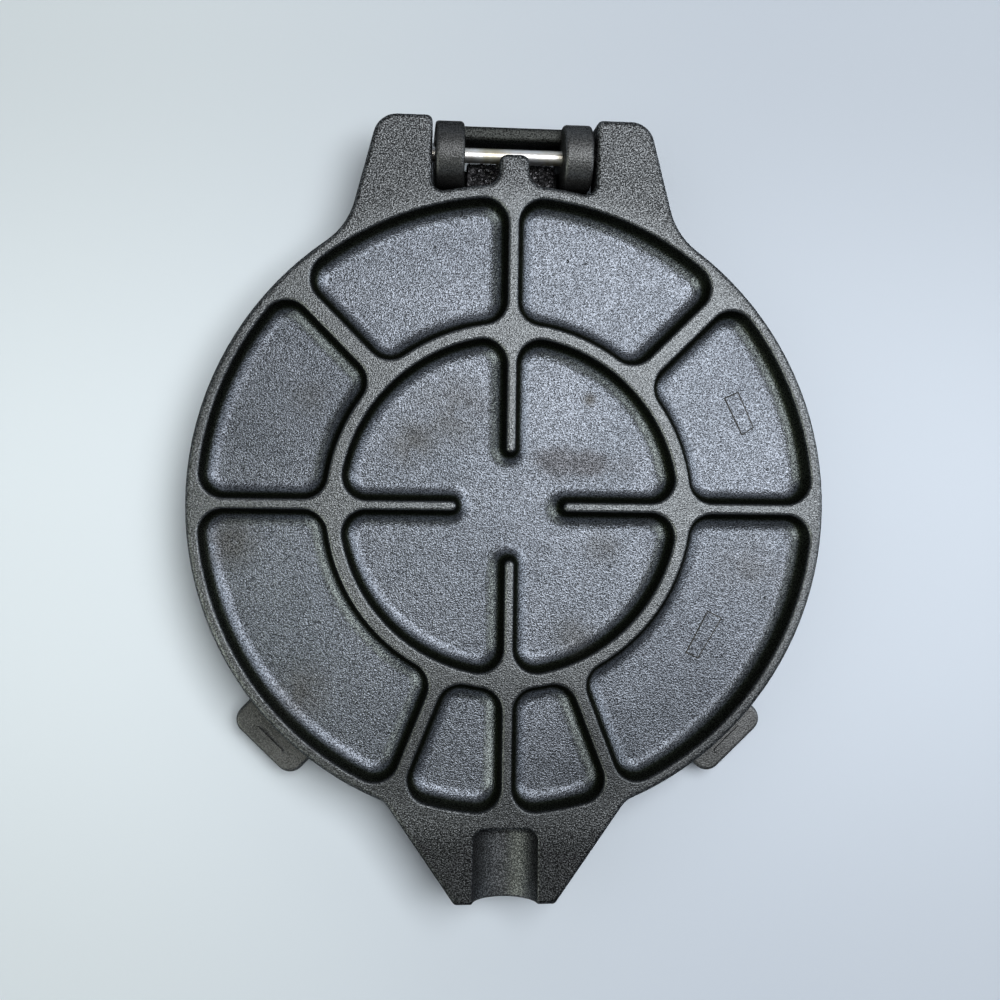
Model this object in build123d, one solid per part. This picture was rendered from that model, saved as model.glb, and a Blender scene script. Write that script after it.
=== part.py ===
from build123d import *
import os
from math import cos, hypot, radians, sin, tan

# A hand press for tortillas in cast iron, closed and standing on its feet.
# Two ribbed plates are hinged at the back (+Y) on one steel pin. The upper one,
# the lid, ends at the front (-Y) in a nose that the hand takes hold of.
# Each casting is drawn about the middle of the round plates, in millimetres,
# with z = 0 on its press face, and is then set down on the table at z = 0.

# Round plates
plate_radius = 101.6
lid_thickness = 13.0
base_thickness = 13.0
web_thickness = 5.0
press_gap = 0.3
outer_draft = 2.0
lid_edge = 1.5
base_edge = 1.2

# Ribs and the pockets between them
ring_rib_inside = 54.0
ring_rib_width = 3.9
rim_width = 3.8
axis_rib_width = 3.0
diagonal_rib_width = 5.1
nose_rib_width = 3.7
nose_rib_angle = 21.5
centre_rib_width = 2.6
centre_rib_start = 18.6
pocket_corner = 8.0
pocket_draft = 12.0
pocket_root = 5.0
rib_top_edge = 0.9

# Hinge: steel pin, ears on the lid, yoke of two barrels on the base
pin_radius = 2.38
pin_length = 90.0
pin_chamfer = 0.5
pin_beyond_rim = 10.6
pin_below_lid_top = 9.0
pin_running_clearance = 0.08
barrel_radius = 10.5
barrel_width = 9.2
barrel_edge = 1.2
yoke_opening = 31.6
ear_side_clearance = 1.0

# Ears of the lid
ear_tail = 10.8
ear_tip_half_span = 43.2
ear_flare_angle = 14.7
ear_outer_corner = 8.0
ear_inner_corner = 2.0
ear_root_fillet = 22.0
ear_boss_radius = 7.0
ear_boss_fillet = 3.0
notch_corner = 3.5

# Stop tab of the lid, which lands on the yoke's crossbar when the lid is open
tab_width = 9.5
tab_thickness = 5.0
tab_short_of_pin = 1.2
tab_corner = 2.5
tab_root_fillet = 5.0
open_angle = 100.0
stop_clearance = 0.3

# Nose of the lid, with its half-round thumb channel
nose_beyond_rim = 25.4
nose_half_width = 16.3
nose_side_angle = 34.2
nose_corner = 2.0
nose_root_fillet = 6.0
channel_radius = 10.3
channel_depth = 9.8
channel_length = 24.6
channel_end_fillet = 4.0
channel_edge = 0.8

# Yoke of the base: crossbar behind the pin, rear legs, low web and the casting's gate
crossbar_thickness = 4.4
crossbar_behind_pin = 5.4
crossbar_height = 11.5
crossbar_edge = 1.4
leg_drop = 5.0
leg_corner = 2.0
gusset_length = 10.0
arm_below_press_face = 1.0
arm_crook_fillet = 2.0
gate_width = 26.6
gate_length = 9.0
gate_thickness = 6.0
gate_below_press_face = 3.0
gate_edge = 1.0
yoke_web_length = 8.5
yoke_web_thickness = 5.0

# Front feet of the base
foot_angle = 44.5
foot_width = 27.7
foot_reach = 11.7
foot_bury = 7.0
foot_below_press_face = 7.0
foot_corner = 5.0
foot_edge = 1.2
foot_bead_length = 12.0
foot_bead_width = 1.6
foot_bead_height = 0.8
foot_bead_inset = 4.2

# Heights and places that follow from the sizes above
press_face_z = leg_drop + base_thickness
pin_offset = plate_radius + pin_beyond_rim
nose_reach = plate_radius + nose_beyond_rim
pin_above_lid_face = lid_thickness - pin_below_lid_top
pin_above_base_face = press_gap + pin_above_lid_face
ear_reach = pin_offset + ear_tail
plate_y = (nose_reach - ear_reach) / 2
barrel_inner_face = yoke_opening / 2
barrel_middle = barrel_inner_face + barrel_width / 2
notch_half_width = barrel_inner_face + barrel_width + ear_side_clearance
pocket_outside = plate_radius - rim_width
pocket_inside = ring_rib_inside + ring_rib_width
far_away = 3 * plate_radius
near = 0.05

# Ribs that run to the rim, as (angle from +X, width), anticlockwise
lid_ribs = [
    (0, axis_rib_width),
    (45, diagonal_rib_width),
    (90, axis_rib_width),
    (135, diagonal_rib_width),
    (180, axis_rib_width),
    (270 - nose_rib_angle, nose_rib_width),
    (270, axis_rib_width),
    (270 + nose_rib_angle, nose_rib_width),
]
base_ribs = [(45 * step, axis_rib_width) for step in range(8)]


def ray(angle):
    """Unit vector in the plan, at an angle from +X."""
    return Vector(cos(radians(angle)), sin(radians(angle)))


def along_x(side_view, half_length):
    """Solid that runs along X both ways from the middle, from a sketch drawn as (Y, Z)."""
    return extrude(Plane.YZ * side_view, amount=half_length, both=True)


def corners_at(plan, *points):
    """Corners of a plan that lie at the given points."""
    return [v for v in plan.vertices() if any(hypot(v.X - x, v.Y - y) < near for x, y in points)]


def disc_corners(plan, radius, back):
    """Corners of a plan that lie on a circle, at the back (+Y) or at the front."""
    on_circle = [v for v in plan.vertices() if abs(hypot(v.X, v.Y) - radius) < near]
    return [v for v in on_circle if (v.Y > 0) == back]


def wedge_between(rib_a, rib_b):
    """Plan of all that lies between two ribs, anticlockwise from a's side to b's."""
    angle_a, width_a = rib_a
    angle_b, width_b = rib_b
    side_a = ray(angle_a + 90)
    side_b = ray(angle_b - 90)
    cross = side_a.X * side_b.Y - side_a.Y * side_b.X
    apex = Vector(
        (side_b.Y * width_a - side_a.Y * width_b) / (2 * cross),
        (side_a.X * width_b - side_b.X * width_a) / (2 * cross),
    )
    span = angle_b - angle_a
    reach = [apex + ray(angle_a + span * share) * far_away for share in (0, 0.5, 1)]
    return make_face(Polyline(apex, *reach, close=True))


def outer_pockets(ribs):
    """Plans of the pockets between the ring rib and the rim."""
    ring = Circle(pocket_outside) - Circle(pocket_inside)
    first_angle, first_width = ribs[0]
    ends = ribs[1:] + [(first_angle + 360, first_width)]
    plans = [ring & wedge_between(rib, end) for rib, end in zip(ribs, ends)]
    return [fillet(plan.vertices(), pocket_corner) for plan in plans]


def centre_pocket():
    """Plan of the clover inside the ring rib, parted by four ribs that stop short."""
    plan = Circle(ring_rib_inside)
    rib_length = far_away - centre_rib_start
    for quarter in range(4):
        rib = Pos(centre_rib_start + rib_length / 2, 0) * Rectangle(rib_length, centre_rib_width)
        rib += Pos(centre_rib_start, 0) * Circle(centre_rib_width / 2)
        plan -= Rot(0, 0, 90 * quarter) * rib
    outer = disc_corners(plan, ring_rib_inside, True) + disc_corners(plan, ring_rib_inside, False)
    return fillet(outer, pocket_corner)


def pocket_cutters(ribs, depth):
    """Every pocket of a plate as a tool that cuts down from z = 0, with draft and round roots."""
    cutters = []
    for plan in outer_pockets(ribs) + [centre_pocket()]:
        cutter = extrude(plan, amount=-depth, taper=pocket_draft)
        floor = cutter.faces().sort_by(Axis.Z)[0]
        cutters.append(fillet(floor.edges(), pocket_root))
    return cutters


def tapered_plan(tip_half_width, reach, side_angle):
    """Trapezoid that runs out from inside the disc, along +Y, and narrows to its tip."""
    start = plate_radius / 2
    root_half_width = tip_half_width + (reach - start) * tan(radians(side_angle))
    outline = Polyline(
        (-root_half_width, start),
        (root_half_width, start),
        (tip_half_width, reach),
        (-tip_half_width, reach),
        close=True,
    )
    return make_face(outline)


def lid_plan():
    """Outline of the lid: disc, ears and nose, before the notch is cut between the ears."""
    ears = tapered_plan(ear_tip_half_span, ear_reach, ear_flare_angle)
    nose = Rot(0, 0, 180) * tapered_plan(nose_half_width, nose_reach, nose_side_angle)
    plan = Circle(plate_radius) + ears + nose
    plan = fillet(disc_corners(plan, plate_radius, True), ear_root_fillet)
    plan = fillet(disc_corners(plan, plate_radius, False), nose_root_fillet)
    ear_tips = [(side * ear_tip_half_span, ear_reach) for side in (-1, 1)]
    plan = fillet(corners_at(plan, *ear_tips), ear_outer_corner)
    prongs = [(side * nose_half_width, -nose_reach) for side in (-1, 1)]
    return fillet(corners_at(plan, *prongs), nose_corner)


def notch_plan():
    """Gap between the ears, which keeps the round edge of the disc as its floor."""
    length = 2 * (ear_reach - plate_radius / 2)
    plan = Pos(0, ear_reach) * Rectangle(2 * notch_half_width, length) - Circle(plate_radius)
    return fillet(disc_corners(plan, plate_radius, True), notch_corner)


def stop_tab():
    """Thin tab that reaches over the pin from the middle of the notch."""
    reach = pin_offset - tab_short_of_pin
    plan = Circle(plate_radius) + Pos(0, reach / 2) * Rectangle(tab_width, reach)
    plan = fillet(corners_at(plan, (-tab_width / 2, reach), (tab_width / 2, reach)), tab_corner)
    plan = fillet(disc_corners(plan, plate_radius, True), tab_root_fillet)
    plan &= Pos(0, reach + pocket_outside) * Rectangle(2 * barrel_inner_face, 2 * reach)
    return Pos(0, 0, lid_thickness - tab_thickness) * extrude(plan, amount=tab_thickness)


def ear_bosses():
    """Round thickening under each ear, about the pin."""
    above = Rectangle(4 * ear_boss_radius, 2 * pin_above_lid_face, align=(Align.CENTER, Align.MIN))
    side_view = Pos(pin_offset, pin_above_lid_face) * Circle(ear_boss_radius) + Pos(pin_offset, 0) * above
    half_chord = (ear_boss_radius**2 - pin_above_lid_face**2) ** 0.5
    crooks = [(pin_offset + side * half_chord, 0) for side in (-1, 1)]
    side_view = fillet(corners_at(side_view, *crooks), ear_boss_fillet)
    outline = extrude(lid_plan() - notch_plan(), amount=-2 * ear_boss_radius)
    return along_x(side_view, 2 * ear_tip_half_span) & outline


def thumb_channel():
    """Half-round groove along the nose, open at its tip and rounded at its blind end."""
    groove = Cylinder(channel_radius, 2 * channel_length, rotation=(90, 0, 0))
    blind_end = groove.edges().filter_by(GeomType.CIRCLE).sort_by(Axis.Y)[-1]
    groove = fillet(blind_end, channel_end_fillet)
    axis_z = lid_thickness + channel_radius - channel_depth
    return Pos(0, -nose_reach, axis_z) * groove


def pin_bore(radius, height):
    """Tool for the hinge's hole, right across a casting."""
    return Pos(0, pin_offset, height) * Cylinder(radius, 4 * ear_tip_half_span, rotation=(0, 90, 0))


def top_plate():
    """The lid: ribbed disc with ears, stop tab and nose, its press face at z = 0."""
    lid = extrude(lid_plan(), amount=lid_thickness, taper=outer_draft)
    lid -= extrude(notch_plan(), amount=lid_thickness)
    middle = [edge for edge in lid.edges() if abs(edge.center().Z - lid_thickness / 2) < lid_edge]
    behind_pin = [edge for edge in middle if edge.center().Y > pin_offset]
    ear_corners = [edge for edge in behind_pin if abs(edge.center().X) < notch_half_width + lid_edge]
    lid = fillet(ear_corners, ear_inner_corner)
    lid += stop_tab()
    lid = fillet(lid.faces().sort_by(Axis.Z)[-1].edges(), lid_edge)
    lid += ear_bosses()
    for cutter in pocket_cutters(lid_ribs, lid_thickness - web_thickness):
        lid -= Pos(0, 0, lid_thickness) * cutter
    rib_tops = lid.faces().sort_by(Axis.Z)[-1]
    lid = fillet([edge for wire in rib_tops.inner_wires() for edge in wire.edges()], rib_top_edge)
    lid -= thumb_channel()
    on_nose = [e for e in lid.faces().sort_by(Axis.Z)[-1].edges() if e.center().Y < -plate_radius]
    lid = fillet([edge for edge in on_nose if abs(edge.center().X) < channel_radius], channel_edge)
    return lid - pin_bore(pin_radius, pin_above_lid_face)


def stop_height():
    """Top of the yoke's crossbar, above the pin's axis: where the rounded tab lands."""
    turn = radians(open_angle)
    arc_y = -tab_short_of_pin - lid_edge
    arc_z = pin_below_lid_top - lid_edge
    return arc_z * cos(turn) - arc_y * sin(turn) - lid_edge - stop_clearance


def yoke_arm():
    """One arm of the yoke with its barrel and rear leg, as a plate that lies in Y and Z."""
    height = pin_above_base_face + press_face_z
    lean = radians(outer_draft)
    shoulder = Vector(barrel_radius * cos(lean), -barrel_radius * sin(lean))
    toe = shoulder.X - (height + shoulder.Y) * tan(lean)
    leg_sides = Polyline(
        (-shoulder.X, shoulder.Y),
        (-toe, -height),
        (toe, -height),
        (shoulder.X, shoulder.Y),
        close=True,
    )
    leg = fillet(corners_at(make_face(leg_sides), (-toe, -height), (toe, -height)), leg_corner)
    leg = Pos(pin_offset, pin_above_base_face) * (Rot(0, 0, 90) * Circle(barrel_radius) + leg)
    arm_start = pocket_outside - gusset_length
    arm_height = base_thickness - arm_below_press_face
    arm = Rectangle(pin_offset - arm_start, arm_height, align=(Align.MIN, Align.MIN))
    side_view = leg + Pos(arm_start, -base_thickness) * arm
    arm_levels = (-base_thickness, -arm_below_press_face)
    on_arm = [v for v in side_view.vertices() if min(abs(v.Y - z) for z in arm_levels) < near]
    crooks = [v for v in on_arm if v.X > arm_start + near]
    side_view = fillet(crooks, arm_crook_fillet)
    plate = extrude(Plane.YZ * side_view, amount=barrel_width / 2, both=True)
    sides = plate.faces().sort_by(Axis.X)
    return fillet(sides[0].edges() + sides[-1].edges(), barrel_edge)


def crossbar():
    """Bar between the barrels, behind the pin, which stops the open lid."""
    top = pin_above_base_face + stop_height()
    side_view = Rectangle(crossbar_thickness, crossbar_height, align=(Align.MIN, Align.MAX))
    side_view = Pos(pin_offset + crossbar_behind_pin, top) * side_view
    side_view = fillet(side_view.vertices().group_by(Axis.Y)[-1], crossbar_edge)
    return along_x(side_view, barrel_middle)


def yoke_web():
    """Low web at the rim that ties the arms of the yoke together, under the gate stub."""
    length = rim_width / 2 + yoke_web_length
    web = Box(2 * barrel_middle, length, yoke_web_thickness, align=(Align.CENTER, Align.MIN, Align.MIN))
    return Pos(0, plate_radius - rim_width / 2, -base_thickness) * web


def gate_stub():
    """Rough end of the runner through which the base was poured."""
    stub = Box(gate_width, 2 * gate_length, gate_thickness, align=(Align.CENTER, Align.CENTER, Align.MAX))
    stub = fillet(stub.faces().sort_by(Axis.Y)[-1].edges() + stub.edges().filter_by(Axis.Y), gate_edge)
    return Pos(0, plate_radius, -gate_below_press_face) * stub


def front_foot(angle):
    """Foot at the rim, with a small bead cast on its top."""
    length = foot_bury + foot_reach
    plan = Pos(plate_radius - foot_bury, 0) * Rectangle(length, foot_width, align=(Align.MIN, Align.CENTER))
    plan = fillet(plan.vertices().group_by(Axis.X)[-1], foot_corner)
    height = press_face_z - foot_below_press_face
    foot = extrude(plan, amount=-height, taper=outer_draft)
    levels = foot.faces().sort_by(Axis.Z)
    foot = fillet(levels[0].edges() + levels[-1].edges(), foot_edge)
    bead_plan = SlotOverall(foot_bead_length, foot_bead_width, rotation=90)
    bead = extrude(bead_plan, amount=foot_bead_height, both=True)
    foot += Pos(plate_radius + foot_reach - foot_bead_inset, 0) * bead
    return Rot(0, 0, angle) * Pos(0, 0, -foot_below_press_face) * foot


def base_plate():
    """The base: disc ribbed below, two front feet and the yoke, its press face at z = 0."""
    base = extrude(Circle(plate_radius), amount=-base_thickness, taper=outer_draft)
    base = fillet(base.faces().sort_by(Axis.Z)[0].edges(), base_edge)
    for cutter in pocket_cutters(base_ribs, base_thickness - web_thickness):
        base -= Pos(0, 0, -base_thickness) * Rot(180, 0, 0) * cutter
    underside = base.faces().sort_by(Axis.Z)[0]
    base = fillet([edge for wire in underside.inner_wires() for edge in wire.edges()], rib_top_edge)
    for side in (-1, 1):
        base += Pos(side * barrel_middle, 0) * yoke_arm()
        base += front_foot(270 + side * foot_angle)
    base += crossbar()
    base += yoke_web()
    base += gate_stub()
    return base - pin_bore(pin_radius + pin_running_clearance, pin_above_base_face)


def hinge_pin():
    """Steel pin, driven into the lid's ears and free in the base's barrels."""
    pin = Cylinder(pin_radius, pin_length, rotation=(0, 90, 0))
    return chamfer(pin.edges().filter_by(GeomType.CIRCLE), pin_chamfer)


pieces = {
    "top_plate": Pos(0, plate_y, press_face_z + press_gap) * top_plate(),
    "base_plate": Pos(0, plate_y, press_face_z) * base_plate(),
    "hinge_pin": Pos(0, plate_y + pin_offset, press_face_z + pin_above_base_face) * hinge_pin(),
}
os.makedirs("parts", exist_ok=True)
for name, piece in pieces.items():
    export_step(piece, f"parts/{name}.step")
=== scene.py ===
import math

import bpy
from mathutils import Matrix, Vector


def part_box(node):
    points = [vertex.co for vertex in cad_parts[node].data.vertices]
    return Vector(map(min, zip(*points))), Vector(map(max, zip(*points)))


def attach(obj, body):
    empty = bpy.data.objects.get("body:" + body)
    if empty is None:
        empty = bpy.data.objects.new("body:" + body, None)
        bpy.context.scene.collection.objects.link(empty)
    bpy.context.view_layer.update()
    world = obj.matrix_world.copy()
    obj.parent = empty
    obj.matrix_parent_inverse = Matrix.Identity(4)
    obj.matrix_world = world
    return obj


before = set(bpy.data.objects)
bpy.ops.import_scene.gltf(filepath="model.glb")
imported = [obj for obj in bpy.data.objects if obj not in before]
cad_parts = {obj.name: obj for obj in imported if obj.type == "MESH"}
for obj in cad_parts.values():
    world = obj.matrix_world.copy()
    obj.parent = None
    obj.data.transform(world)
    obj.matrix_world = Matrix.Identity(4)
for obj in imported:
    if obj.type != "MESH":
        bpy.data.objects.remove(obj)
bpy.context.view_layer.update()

# The photographer's view: a phone held flat about 0.4 m above the closed press,
# a little left of its middle. The photograph shows the whole press from above.
view = bpy.data.cameras.new("view")
view.sensor_fit = "HORIZONTAL"
view.sensor_width = 36.0
view.lens = 45.81
view.clip_start = 0.01
viewer = bpy.data.objects.new("view", view)
viewer.location = (-0.0361, 0.0098, 0.4313)
viewer.rotation_euler = [math.radians(angle) for angle in (-0.885, -4.676, 0.794)]
bpy.context.scene.collection.objects.link(viewer)
bpy.context.scene.camera = viewer
bpy.context.scene.view_settings.view_transform = "Standard"

# The base: one casting in grey iron, poured in sand and blackened by baked-on oil.
# It lies under the lid, so only its two feet, its barrels and its crossbar show.
# The sand left a fine pebbled grain on it, and the oil a satin skin over that.


class Wire:
    """An output in a node tree that takes part in Python sums; each sign adds its node."""

    def __init__(self, tree, socket=None):
        self.tree = tree
        self.socket = socket

    def node(self, kind, settings, inputs, output=0):
        """Adds a node: its settings first, then the values or wires of its sockets."""
        made = self.tree.nodes.new(kind)
        for name, value in settings.items():
            setattr(made, name, value)
        for name, value in inputs.items():
            if isinstance(value, Wire):
                self.tree.links.new(value.socket, made.inputs[name])
            else:
                made.inputs[name].default_value = value
        return Wire(self.tree, made.outputs[output] if made.outputs else None)

    def math(self, operation, first, second):
        return self.node("ShaderNodeMath", {"operation": operation}, {0: first, 1: second})

    def __add__(self, other):
        return self.math("ADD", self, other)

    def __sub__(self, other):
        return self.math("SUBTRACT", self, other)

    def __rsub__(self, other):
        return self.math("SUBTRACT", other, self)

    def __mul__(self, other):
        return self.math("MULTIPLY", self, other)

    __radd__ = __add__
    __rmul__ = __mul__

    def within(self, low, high):
        """0 below low, 1 above high and smooth between them; falls instead if low is the higher."""
        return self.node(
            "ShaderNodeMapRange",
            {"interpolation_type": "SMOOTHSTEP"},
            {0: self, 1: low, 2: high, 3: 0.0, 4: 1.0},
        )

    def strip(self, half_width, soft):
        """1 within half_width of zero and 0 beyond it, with edges that are this soft."""
        left = self.within(-half_width - soft, -half_width + soft)
        return left * self.within(half_width + soft, half_width - soft)

    def tint(self, plain, full):
        """The colour plain where this wire is 0, and full where it is 1."""
        settings = {"data_type": "RGBA", "clamp_factor": True}
        return self.node("ShaderNodeMix", settings, {0: self, 6: plain, 7: full}, 2)

    def scaled(self, factor):
        """This colour, made lighter or darker."""
        return self.node("ShaderNodeVectorMath", {"operation": "SCALE"}, {0: self, "Scale": factor})

    def coordinate(self, axis):
        """One of the three numbers of this position or colour."""
        return self.node("ShaderNodeSeparateXYZ", {}, {0: self}, axis)

    def noise(self, scale, detail, distortion=0.0):
        """Cloudy pattern on this position, with features of about 1/scale metres."""
        inputs = {"Vector": self, "Scale": scale, "Detail": detail, "Distortion": distortion}
        return self.node("ShaderNodeTexNoise", {}, inputs)

    def stretched(self, scale):
        """This position with each of its numbers multiplied by its own factor."""
        return self.node("ShaderNodeMapping", {}, {0: self, "Scale": scale})

    def distance(self, spot):
        """How far this position is from a spot."""
        return self.node("ShaderNodeVectorMath", {"operation": "DISTANCE"}, {0: self, 1: spot}, 1)

    def near(self, spot, radius):
        """1 at a spot and 0 from radius on, on this position."""
        return self.distance(spot).within(radius, 0.0)


def new_finish(name):
    """A material with nothing in it yet, and the wire of its surface's own position."""
    material = bpy.data.materials.new(name)
    material.use_nodes = True
    material.node_tree.nodes.clear()
    place = Wire(material.node_tree).node("ShaderNodeTexCoord", {}, {}, "Object")
    return material, place


def finish_surface(skin, sockets):
    """The finish's shader, put on the surface."""
    shader = skin.node("ShaderNodeBsdfPrincipled", {}, sockets)
    skin.node("ShaderNodeOutputMaterial", {}, {"Surface": shader})


def sand_grain(place, depth):
    """A sand-cast skin: how far its pebbles of under a millimetre stand up, and its normal."""
    pebbles = place.noise(2200.0, 1.0, 0.2)
    swell = place.noise(70.0, 2.0)
    pit_cells = {"Vector": place, "Scale": 210.0}
    from_pit = place.node("ShaderNodeTexVoronoi", {}, pit_cells, "Distance")
    pit_draw = place.node("ShaderNodeTexVoronoi", {}, pit_cells, "Color")
    few = pit_draw.coordinate(0).within(0.7, 0.8)
    pits = from_pit.within(0.12, 0.04) * few
    height = pebbles + swell * 1.2 - pits * 0.8
    normal = place.node("ShaderNodeBump", {}, {"Strength": 1.0, "Distance": depth, "Height": height})
    return pebbles.within(0.3, 0.7) * (1.0 - pits * 0.5), normal


def put_on(piece, material):
    """The piece's whole surface gets one material."""
    piece.data.materials.clear()
    piece.data.materials.append(material)


oily_iron = {"Metallic": 0.85, "Specular Tint": (0.2, 0.2, 0.2, 1.0)}
material, place = new_finish("base_iron_skin")
across, back, height = (place.coordinate(axis) for axis in range(3))
raised, normal = sand_grain(place, 0.00015)
# The crossbar behind the pin is painted darker, as painted shade, and its grain is stronger in colour,
# as painted glints.
crossbar = back.within(0.1165, 0.1185) * across.strip(0.0160, 0.0005)
# The low hollow between the barrels is painted near black, as painted shade.
hollow_shade = height.within(0.0178, 0.0164) * back.within(0.0990, 0.1015) * across.strip(0.0180, 0.0010)
# The left barrel is painted a little darker, as painted shade.
left_barrel_shade = back.within(0.100, 0.106) * across.within(-0.0150, -0.0160)
cloud = place.noise(45.0, 4.0).within(0.3, 0.7)
iron = cloud.tint((0.058, 0.060, 0.061, 1.0), (0.082, 0.084, 0.086, 1.0))
iron = crossbar.tint(iron, (0.031, 0.033, 0.032, 1.0))
iron = iron.scaled(raised * (crossbar + 0.9) + (0.55 - crossbar * 0.35))
iron = hollow_shade.tint(iron, (0.008, 0.009, 0.009, 1.0)).scaled(1.0 - left_barrel_shade * 0.28)
roughness = place.noise(300.0, 3.0) * 0.16 + 0.36 + crossbar * 0.1
finish_surface(place, {"Base Color": iron, "Roughness": roughness, "Normal": normal, **oily_iron})
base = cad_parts["base_plate"]
put_on(base, material)

# The broken end of the runner that the base was poured through, low between its barrels.
# It was knocked off with a hammer and is one with the base: coarse torn iron with bright
# facets, blackened like the rest. A lumpy skin of it covers the plain stub of the casting.


def shape_group(name, sizes):
    """A geometry group with named sizes, and the wires that its sizes and geometry come in on."""
    tree = bpy.data.node_groups.new(name, "GeometryNodeTree")
    tree.interface.new_socket("Outline", in_out="INPUT", socket_type="NodeSocketGeometry")
    for size, value in sizes.items():
        kind = "NodeSocketVector" if isinstance(value, tuple) else "NodeSocketFloat"
        tree.interface.new_socket(size, in_out="INPUT", socket_type=kind).default_value = value
    tree.interface.new_socket("Piece", in_out="OUTPUT", socket_type="NodeSocketGeometry")
    given = tree.nodes.new("NodeGroupInput")
    return tree, {socket.name: Wire(tree, socket) for socket in given.outputs}


def close_group(geometry, material):
    """Ends a geometry group: real geometry in one material."""
    real = geometry.node("GeometryNodeRealizeInstances", {}, {0: geometry})
    dressed = real.node("GeometryNodeSetMaterial", {}, {"Geometry": real, "Material": material})
    dressed.node("NodeGroupOutput", {}, {0: dressed})


def shaped_piece(name, tree, outline, sizes):
    """A plain mesh object that a geometry group makes from an outline, at these sizes."""
    piece = bpy.data.objects.new(name, outline)
    bpy.context.scene.collection.objects.link(piece)
    shaper = piece.modifiers.new(name, "NODES")
    shaper.node_group = tree
    for socket in tree.interface.items_tree:
        if socket.name in sizes:
            shaper[socket.identifier] = sizes[socket.name]
    ready = piece.evaluated_get(bpy.context.evaluated_depsgraph_get())
    mesh = bpy.data.meshes.new_from_object(ready)
    piece.modifiers.remove(shaper)
    piece.data = mesh
    return piece


torn, place = new_finish("torn_iron")
crystals = place.node("ShaderNodeTexVoronoi", {}, {"Vector": place, "Scale": 1400.0}, "Color")
bright = crystals.coordinate(0).within(0.55, 0.95)
raised, normal = sand_grain(place, 0.0003)
sockets = {
    "Base Color": bright.tint((0.02, 0.02, 0.022, 1.0), (0.13, 0.13, 0.14, 1.0)),
    "Metallic": 0.9,
    "Roughness": 0.45 - bright * 0.2,
    "Normal": normal,
}
finish_surface(place, sockets)

torn_sizes = {"Size": (0.0280, 0.0080, 0.0078), "Middle": (0.0, 0.1091, 0.0126), "Tear": 0.00095}
tree, sizes = shape_group("torn_end", torn_sizes)
cuts = {"Vertices X": 64, "Vertices Y": 22, "Vertices Z": 16}
block = sizes["Size"].node("GeometryNodeMeshCube", {}, {"Size": sizes["Size"], **cuts})
points = block.node("GeometryNodeInputPosition", {}, {})
lumpy = {"Vector": points, "Scale": 330.0, "Detail": 4.0, "Roughness": 0.62}
lumps = points.node("ShaderNodeTexNoise", {}, lumpy, "Color")
pull = lumps.node("ShaderNodeVectorMath", {"operation": "SUBTRACT"}, {0: lumps, 1: (0.5, 0.5, 0.5)})
pull = pull.scaled(sizes["Tear"] * 4.0)
ragged = pull.node("GeometryNodeSetPosition", {}, {"Geometry": block, "Offset": pull})
set_down = ragged.node("GeometryNodeTransform", {}, {"Geometry": ragged, "Translation": sizes["Middle"]})
faceted = set_down.node("GeometryNodeSetShadeSmooth", {}, {"Geometry": set_down, "Shade Smooth": False})
close_group(faceted, torn)
no_outline = bpy.data.meshes.new("torn_end")
torn_end = shaped_piece("runner_break", tree, no_outline, torn_sizes)
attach(torn_end, "base")

# The lid: a second casting in the same iron, ribbed on top, with ears, stop tab and nose.
# Its pocket floors keep a satin sheen with dull stains of baked oil and one grey scuff, the
# walls round them are black with painted shade, and its ears and nose are rougher and duller.
lid_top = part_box("top_plate")[1].z
pocket_floor = lid_top - 0.0080
plate_middle = (0.0, 0.0020, 0.0)
plate_radius = 0.1016

lid_skin, place = new_finish("lid_iron_skin")
across, back, height = (place.coordinate(axis) for axis in range(3))
in_plan = place.node("ShaderNodeVectorMath", {"operation": "MULTIPLY"}, {0: place, 1: (1.0, 1.0, 0.0)})
outward = in_plan.distance(plate_middle)
raised, normal = sand_grain(place, 0.00017)

upper_side = height.within(pocket_floor - 0.0043, pocket_floor - 0.0018)
rib_top = height.within(lid_top - 0.0014, lid_top - 0.0005)
# The pockets' walls are painted near black with a green cast, as painted shade.
wall_shade = height.within(pocket_floor + 0.0008, pocket_floor + 0.0023)
wall_shade = wall_shade * height.within(lid_top - 0.0006, lid_top - 0.0016)
wall_shade = wall_shade * outward.within(plate_radius - 0.0012, plate_radius - 0.0022)
dull = outward.within(plate_radius - 0.0076, plate_radius + 0.0044)
nose = back.within(-0.094, -0.108)
channel = across.strip(0.0110, 0.0005) * height.within(lid_top - 0.0001, lid_top - 0.0011) * nose
front_rib_shade = rib_top * (1.0 - dull) * back.within(-0.030, -0.070)

stains = (
    ((-0.0315, 0.0215, pocket_floor), 0.0110, 0.70),
    ((-0.0185, 0.0320, pocket_floor), 0.0180, 0.55),
    ((0.0260, 0.0367, pocket_floor), 0.0035, 0.90),
    ((0.0307, -0.0111, pocket_floor), 0.0090, 0.50),
    ((0.0220, -0.0400, pocket_floor), 0.0110, 0.60),
    ((-0.0651, -0.0578, pocket_floor), 0.0140, 0.70),
    ((-0.0876, -0.0105, pocket_floor), 0.0130, 0.80),
    ((-0.0635, 0.0357, pocket_floor), 0.0100, 0.35),
    ((0.0790, -0.0180, pocket_floor), 0.0180, 0.40),
)
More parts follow.
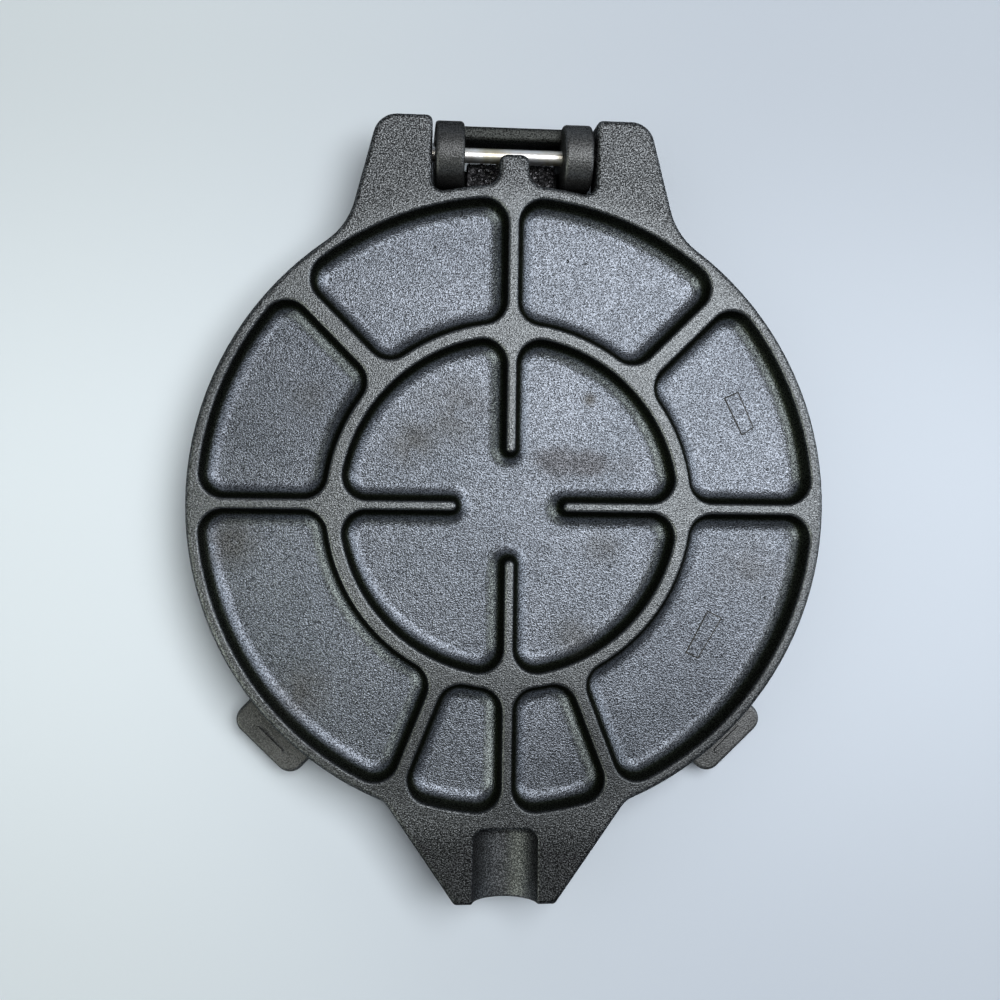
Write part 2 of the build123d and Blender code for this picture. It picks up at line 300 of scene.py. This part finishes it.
# Three broad patches of painted shade, where the floors are made darker.
shade_patches = (
    ((-0.0768, 0.0345, pocket_floor), 0.050, 0.25),
    ((0.0660, -0.0570, pocket_floor), 0.050, 0.20),
    ((0.0205, -0.0835, pocket_floor), 0.030, 0.26),
)
stained = sum(place.near(spot, radius) * strength for spot, radius, strength in stains)
stained = stained * place.noise(140.0, 4.0).within(0.2, 0.55) * upper_side
painted_shade = sum(place.near(spot, radius) * strength for spot, radius, strength in shade_patches)
squashed = place.stretched((1.0, 1.7, 1.0))
scuff = squashed.near((0.0170, 0.0270, pocket_floor), 0.017)
scuff = scuff + squashed.near((0.0325, 0.0255, pocket_floor), 0.016) * 0.7
scuffed = (scuff + place.noise(130.0, 6.0) * 1.3 - 0.65).within(0.15, 0.95) * upper_side

cloud = place.noise(38.0, 4.0, 0.4).within(0.3, 0.7)
iron = cloud.tint((0.080, 0.089, 0.104, 1.0), (0.099, 0.109, 0.127, 1.0))
iron = rib_top.tint(iron, (0.084, 0.090, 0.095, 1.0))
iron = wall_shade.tint(iron, (0.023, 0.028, 0.019, 1.0))
iron = dull.tint(iron, (0.063, 0.067, 0.071, 1.0))
# The nose, less so in its thumb channel, and the rib tops at the front are painted darker, as painted
# shade.
iron = iron.scaled(1.0 - nose * (0.52 - channel * 0.45) - front_rib_shade * 0.42)
iron = stained.tint(iron, (0.053, 0.053, 0.052, 1.0))
iron = scuffed.tint(iron, (0.050, 0.052, 0.058, 1.0)).scaled(1.0 - painted_shade)
# The pebble grain in the colour is partly the iron's own speckle and partly painted glints and painted
# shade of its pebbles; on the ears and nose it is squared into bright flecks.
grain = 1.35 - rib_top * 0.4 + dull * 1.3 - channel * 1.1
grain_and_glints = raised * (1.0 - dull * (1.0 - raised))
iron = iron.scaled(grain_and_glints * grain + (1.0 - grain * (0.5 - dull * 0.14)))
roughness = place.noise(300.0, 3.0) * 0.16 + 0.25 + dull * 0.1 + stained * 0.15
finish_surface(place, {"Base Color": iron, "Roughness": roughness, "Normal": normal, **oily_iron})
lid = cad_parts["top_plate"]
put_on(lid, lid_skin)

# Two small bare pads, cast with the lid in its two right-hand pockets. They were let into
# the pattern a little askew, and stand 0.15 mm above the floors of their pockets.
corners = (
    (0.0704, 0.0380), (0.0748, 0.0400), (0.0800, 0.0287), (0.0763, 0.0262),
    (0.0659, -0.0315), (0.0704, -0.0338), (0.0629, -0.0468), (0.0590, -0.0450),
)
rings = [(turn + at, turn + (at + 1) % 4) for turn in (0, 4) for at in range(4)]
outlines = bpy.data.meshes.new("pads")
outlines.from_pydata([(x, y, pocket_floor) for x, y in corners], rings, [])

pad_sizes = {"Floor": pocket_floor, "Sunk": 0.0005, "Proud": 0.00015}
tree, sizes = shape_group("pads", pad_sizes)
loops = sizes["Outline"].node("GeometryNodeMeshToCurve", {}, {0: sizes["Outline"]})
flat = loops.node("GeometryNodeFillCurve", {"mode": "NGONS"}, {"Curve": loops})
bottom = flat.node("ShaderNodeCombineXYZ", {}, {"Z": sizes["Floor"] - sizes["Sunk"]})
faces = flat.node("GeometryNodeTransform", {}, {"Geometry": flat, "Translation": bottom})
up = faces.node("ShaderNodeCombineXYZ", {}, {"Z": sizes["Proud"] + sizes["Sunk"]})
raised_faces = faces.node("GeometryNodeExtrudeMesh", {}, {"Mesh": faces, "Offset": up})
undersides = faces.node("GeometryNodeFlipFaces", {}, {"Mesh": faces})
both = raised_faces.node("GeometryNodeJoinGeometry", {}, {})
for half in (raised_faces, undersides):
    tree.links.new(half.socket, both.socket.node.inputs[0])
closed = both.node("GeometryNodeMergeByDistance", {}, {"Geometry": both, "Distance": 0.000001})
close_group(closed, lid_skin)
pads = shaped_piece("bare_pads", tree, outlines, pad_sizes)
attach(pads, "lid")

# The joints round the two pads: a thin near-black bead, painted shade along the line that
# each pad left in the floor of its pocket. It follows the outlines of the pads.
edge_shade, place = new_finish("pad_edge_shade")
shade_tone = place.noise(900.0, 2.0).within(0.35, 0.65)
sockets = {
    "Base Color": shade_tone.tint((0.004, 0.004, 0.004, 1.0), (0.02, 0.02, 0.02, 1.0)),
    "Roughness": place.noise(500.0, 2.0) * 0.3 + 0.45,
}
finish_surface(place, sockets)
joint_sizes = {"Thickness": 0.00035}
tree, sizes = shape_group("pad_joints", joint_sizes)
loops = sizes["Outline"].node("GeometryNodeMeshToCurve", {}, {0: sizes["Outline"]})
round_section = {"Resolution": 8, "Radius": sizes["Thickness"]}
section = loops.node("GeometryNodeCurvePrimitiveCircle", {}, round_section)
bead = section.node("GeometryNodeCurveToMesh", {}, {"Curve": loops, "Profile Curve": section})
close_group(bead, edge_shade)
joints = shaped_piece("pad_joints", tree, outlines, joint_sizes)
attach(joints, "lid")

# The hinge pin: a length of bright drawn steel rod, driven into the lid's ears.
# The die left fine lines along it, and a film of oil has yellowed it in places.
material, place = new_finish("pin_steel_skin")
lines = place.stretched((0.02, 1.0, 1.0)).noise(4200.0, 3.0)
film = place.noise(160.0, 3.0).within(0.42, 0.68)
sockets = {
    "Base Color": film.tint((0.64, 0.64, 0.65, 1.0), (0.45, 0.42, 0.33, 1.0)),
    "Metallic": 1.0,
    "Roughness": lines * 0.2 + 0.3,
    "Normal": place.node("ShaderNodeBump", {}, {"Strength": 0.5, "Distance": 0.00003, "Height": lines}),
}
finish_surface(place, sockets)
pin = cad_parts["hinge_pin"]
put_on(pin, material)

# The studio: a pale worktop that fades into a pale distance, and a large soft light above
# and behind the press on its right. The three sheens show only as gloss on the iron, and
# two weak lamps fill the shadows from behind and from the left.


def in_view(wire):
    """1 on rays from the camera, off metal or through glass; 0 on rays that only carry light."""
    kinds = ("Is Camera Ray", "Is Glossy Ray", "Is Transmission Ray")
    camera, glossy, through = (wire.node("ShaderNodeLightPath", {}, {}, kind) for kind in kinds)
    return (camera + glossy + through).within(0.0, 1.0)


distance_colour = (0.66, 0.74, 0.82, 1.0)
material, place = new_finish("worktop")
across, back = (place.coordinate(axis) for axis in range(2))
# The worktop's colour is painted with light and shade: darker towards the back and the front, and
# lighter towards the left.
shade = back.within(0.0, 0.16) * 0.22 + back.within(-0.04, -0.16) * 0.07
pale = across.within(-0.17, 0.10).tint((0.86, 0.95, 0.99, 1.0), (0.69, 0.77, 0.87, 1.0))
sockets = {"Base Color": pale.scaled(1.0 - shade), "Roughness": 0.6, "Specular IOR Level": 0.2}
lit = place.node("ShaderNodeBsdfPrincipled", {}, sockets)
haze = place.node("ShaderNodeEmission", {}, {"Color": distance_colour, "Strength": 1.0})
far = 1.0 - place.near((0.0, 0.0, 0.0), 0.85).within(0.0, 0.85)
surface = place.node("ShaderNodeMixShader", {}, {0: in_view(place) * far, 1: lit, 2: haze})
place.node("ShaderNodeOutputMaterial", {}, {"Surface": surface})
edge = 4.0
rim = [(-edge, -edge, 0.0), (edge, -edge, 0.0), (edge, edge, 0.0), (-edge, edge, 0.0)]
mesh = bpy.data.meshes.new("worktop")
mesh.from_pydata(rim, [], [(0, 1, 2, 3)])
worktop = bpy.data.objects.new("worktop", mesh)
bpy.context.scene.collection.objects.link(worktop)
put_on(worktop, material)


def soft_light(name, place, width, depth, power, colour=(1.0, 1.0, 1.0)):
    """A soft rectangular lamp, aimed at the press, that the camera doesn't see."""
    lamp = bpy.data.lights.new(name, "AREA")
    lamp.shape = "RECTANGLE"
    lamp.size = width
    lamp.size_y = depth
    lamp.energy = power
    lamp.color = colour
    holder = bpy.data.objects.new(name, lamp)
    holder.location = place
    aim = Vector((0.0, 0.0, 0.02)) - Vector(place)
    holder.rotation_euler = aim.to_track_quat("-Z", "Y").to_euler()
    holder.visible_camera = False
    bpy.context.scene.collection.objects.link(holder)
    return holder


soft_light("overhead", (0.21, 0.19, 0.95), 0.60, 0.50, 8.4)
sheens = (
    soft_light("right_sheen", (0.60, 0.12, 0.75), 0.5, 0.8, 3.6, (0.93, 0.97, 1.0)),
    soft_light("window_sheen", (0.95, 0.10, 0.32), 0.3, 0.9, 5.0, (0.93, 0.97, 1.0)),
    soft_light("left_sheen", (-0.70, -0.40, 0.70), 0.5, 0.8, 8.0, (0.95, 0.98, 0.82)),
)
for sheen in sheens:
    sheen.visible_diffuse = False
soft_light("rear_lamp", (0.0, 1.1, 0.7), 0.9, 0.4, 1.0)
fill = soft_light("left_fill", (-0.70, 0.05, 0.90), 1.0, 1.0, 2.0)
fill.visible_glossy = False

world = bpy.data.worlds.new("studio")
world.use_nodes = True
world.node_tree.nodes.clear()
room = Wire(world.node_tree)
upward = room.node("ShaderNodeTexCoord", {}, {}, "Generated").coordinate(2)
walls = room.node("ShaderNodeBackground", {}, {"Color": (0.9, 0.95, 1.0, 1.0), "Strength": 0.05})
backdrop = room.node("ShaderNodeBackground", {}, {"Color": distance_colour, "Strength": 1.0})
low = in_view(room) * upward.within(0.50, 0.28)
sky = room.node("ShaderNodeMixShader", {}, {0: low, 1: walls, 2: backdrop})
room.node("ShaderNodeOutputWorld", {}, {"Surface": sky})
bpy.context.scene.world = world
